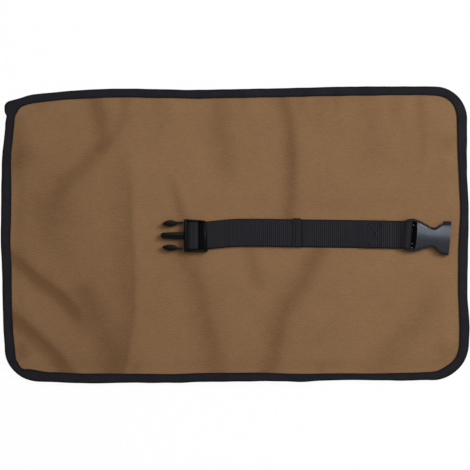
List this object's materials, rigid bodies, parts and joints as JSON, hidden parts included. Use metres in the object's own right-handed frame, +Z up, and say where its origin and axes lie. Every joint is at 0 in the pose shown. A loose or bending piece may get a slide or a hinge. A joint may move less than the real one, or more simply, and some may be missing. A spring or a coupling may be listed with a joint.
{
  "type": "tool roll",
  "caption": "Rectangular canvas tool roll laid open, edges bound with tape, pockets on its underside, closed by a webbing strap with a side release buckle.",
  "frame": {"origin": "centre of the ground under the opened roll, on the pockets' undersides", "axes": "+X along the panel towards the socket end, +Y across the panel from the pockets' closed ends to their mouths, +Z up out of the outer face"},
  "size_m": [0.5, 0.314, 0.0177],
  "materials": {
    "outer_canvas": "tan woven canvas, matt, fine diagonal weave",
    "lining_canvas": "tan woven canvas, matt",
    "pocket_canvas": "tan woven canvas, matt, stitched",
    "edge_tape": "black grosgrain binding tape",
    "webbing": "black ribbed webbing with a slight sheen",
    "plug_plastic": "black moulded acetal, satin",
    "socket_plastic": "black moulded acetal, glossy outer face"
  },
  "bodies": {
    "strip_8": {"outer_8": "outer_canvas", "lining_8": "lining_canvas", "pocket_8": "pocket_canvas", "binding_top_8": "edge_tape", "binding_bottom_8": "edge_tape", "strap_anchor": "webbing"},
    "strip_1": {"outer_1": "outer_canvas", "lining_1": "lining_canvas", "pocket_1": "pocket_canvas", "binding_left_end": "edge_tape"},
    "strip_2": {"outer_2": "outer_canvas", "lining_2": "lining_canvas", "pocket_2": "pocket_canvas", "binding_top_2": "edge_tape", "binding_bottom_2": "edge_tape"},
    "strip_3": {"outer_3": "outer_canvas", "lining_3": "lining_canvas", "pocket_3": "pocket_canvas", "binding_top_3": "edge_tape", "binding_bottom_3": "edge_tape"},
    "strip_4": {"outer_4": "outer_canvas", "lining_4": "lining_canvas", "pocket_4": "pocket_canvas", "binding_top_4": "edge_tape", "binding_bottom_4": "edge_tape"},
    "strip_5": {"outer_5": "outer_canvas", "lining_5": "lining_canvas", "pocket_5": "pocket_canvas", "binding_top_5": "edge_tape", "binding_bottom_5": "edge_tape"},
    "strip_6": {"outer_6": "outer_canvas", "lining_6": "lining_canvas", "pocket_6": "pocket_canvas", "binding_top_6": "edge_tape", "binding_bottom_6": "edge_tape"},
    "strip_7": {"outer_7": "outer_canvas", "lining_7": "lining_canvas", "pocket_7": "pocket_canvas", "binding_top_7": "edge_tape", "binding_bottom_7": "edge_tape"},
    "strip_9": {"outer_9": "outer_canvas", "lining_9": "lining_canvas", "pocket_9": "pocket_canvas", "binding_right_end": "edge_tape"},
    "strap_1": {"strap_run_1": "webbing"},
    "strap_2": {"strap_run_2": "webbing"},
    "strap_3": {"strap_run_3": "webbing", "strap_tail_end": "webbing"},
    "strap_4": {"strap_run_4": "webbing", "strap_tail_middle": "webbing"},
    "plug": {"plug_loop": "webbing", "plug_body": "plug_plastic"},
    "latch_upper": {"plug_latch_upper": "plug_plastic"},
    "latch_lower": {"plug_latch_lower": "plug_plastic"},
    "loop_run": {"socket_strap_lower": "webbing", "socket_strap_upper": "webbing"},
    "loop_end": {"socket_loop": "webbing"},
    "socket": {"socket": "socket_plastic"}
  },
  "joints": [
    {"name": "roll_up", "type": "hinge", "parent": "strip_8", "child": "strip_7", "pos_m": [0.125, 0, 0.0063], "axis": [0, -1, 0], "range_deg": [0, 46]},
    {"name": "seam_fold_6", "type": "hinge", "parent": "strip_7", "child": "strip_6", "pos_m": [0.075, 0, 0.0063], "axis": [0, -1, 0], "range_deg": [0, 46]},
    {"name": "seam_fold_5", "type": "hinge", "parent": "strip_6", "child": "strip_5", "pos_m": [0.025, 0, 0.0063], "axis": [0, -1, 0], "range_deg": [0, 46]},
    {"name": "seam_fold_4", "type": "hinge", "parent": "strip_5", "child": "strip_4", "pos_m": [-0.025, 0, 0.0063], "axis": [0, -1, 0], "range_deg": [0, 46]},
    {"name": "seam_fold_3", "type": "hinge", "parent": "strip_4", "child": "strip_3", "pos_m": [-0.075, 0, 0.0063], "axis": [0, -1, 0], "range_deg": [0, 69]},
    {"name": "seam_fold_2", "type": "hinge", "parent": "strip_3", "child": "strip_2", "pos_m": [-0.125, 0, 0.0063], "axis": [0, -1, 0], "range_deg": [0, 57.5]},
    {"name": "seam_fold_1", "type": "hinge", "parent": "strip_2", "child": "strip_1", "pos_m": [-0.175, 0, 0.0063], "axis": [0, -1, 0], "range_deg": [0, 87.4]},
    {"name": "end_fold", "type": "hinge", "parent": "strip_8", "child": "strip_9", "pos_m": [0.175, 0, 0.0063], "axis": [0, 1, 0], "range_deg": [0, 57.5]},
    {"name": "plug_strap_lift", "type": "hinge", "parent": "strip_8", "child": "strap_1", "pos_m": [0.1406, 0.0008, 0.0102], "axis": [0, 1, 0], "range_deg": [0, 90]},
    {"name": "strap_bend_1", "type": "hinge", "parent": "strap_1", "child": "strap_2", "pos_m": [0.12398, 0.0008, 0.0087], "axis": [0, -1, 0], "range_deg": [0, 46]},
    {"name": "strap_bend_2", "type": "hinge", "parent": "strap_2", "child": "strap_3", "pos_m": [0.07194, 0.0008, 0.0087], "axis": [0, -1, 0], "range_deg": [0, 46]},
    {"name": "strap_bend_3", "type": "hinge", "parent": "strap_3", "child": "strap_4", "pos_m": [0.01991, 0.0008, 0.0087], "axis": [0, -1, 0], "range_deg": [0, 46]},
    {"name": "strap_bend_4", "type": "hinge", "parent": "strap_4", "child": "plug", "pos_m": [-0.03213, 0.0008, 0.0087], "axis": [0, -1, 0], "range_deg": [0, 46]},
    {"name": "latch_squeeze", "type": "hinge", "parent": "plug", "child": "latch_upper", "pos_m": [-0.0547, 0.01355, 0.0132], "axis": [0, 0, 1], "range_deg": [0, 7], "stiffness_Nm_per_rad": 0.02},
    {"name": "latch_squeeze_lower", "type": "hinge", "parent": "plug", "child": "latch_lower", "pos_m": [-0.0547, -0.01355, 0.0132], "axis": [0, 0, 1], "range_deg": [-7, 0], "stiffness_Nm_per_rad": 0.02},
    {"name": "socket_strap_lift", "type": "hinge", "parent": "strip_8", "child": "loop_run", "pos_m": [0.1566, 0.0008, 0.012], "axis": [0, -1, 0], "range_deg": [0, 80]},
    {"name": "loop_bend", "type": "hinge", "parent": "loop_run", "child": "loop_end", "pos_m": [0.17632, 0.0008, 0.0087], "axis": [0, 1, 0], "range_deg": [0, 57.5]},
    {"name": "socket_swivel", "type": "hinge", "parent": "loop_end", "child": "socket", "pos_m": [0.1836, 0.0008, 0.0132], "axis": [-0.0872, -0.9962, 0], "range_deg": [0, 100]}
  ],
  "couplings": [
    {"joint": "seam_fold_6", "follows": "roll_up", "ratio": 1},
    {"joint": "seam_fold_5", "follows": "roll_up", "ratio": 1},
    {"joint": "seam_fold_4", "follows": "roll_up", "ratio": 1},
    {"joint": "seam_fold_3", "follows": "roll_up", "ratio": 1.5},
    {"joint": "seam_fold_2", "follows": "roll_up", "ratio": 1.25},
    {"joint": "seam_fold_1", "follows": "roll_up", "ratio": 1.9},
    {"joint": "strap_bend_1", "follows": "roll_up", "ratio": 1},
    {"joint": "strap_bend_2", "follows": "roll_up", "ratio": 1},
    {"joint": "strap_bend_3", "follows": "roll_up", "ratio": 1},
    {"joint": "strap_bend_4", "follows": "roll_up", "ratio": 1},
    {"joint": "latch_squeeze_lower", "follows": "latch_squeeze", "ratio": -1},
    {"joint": "loop_bend", "follows": "end_fold", "ratio": 1}
  ]
}
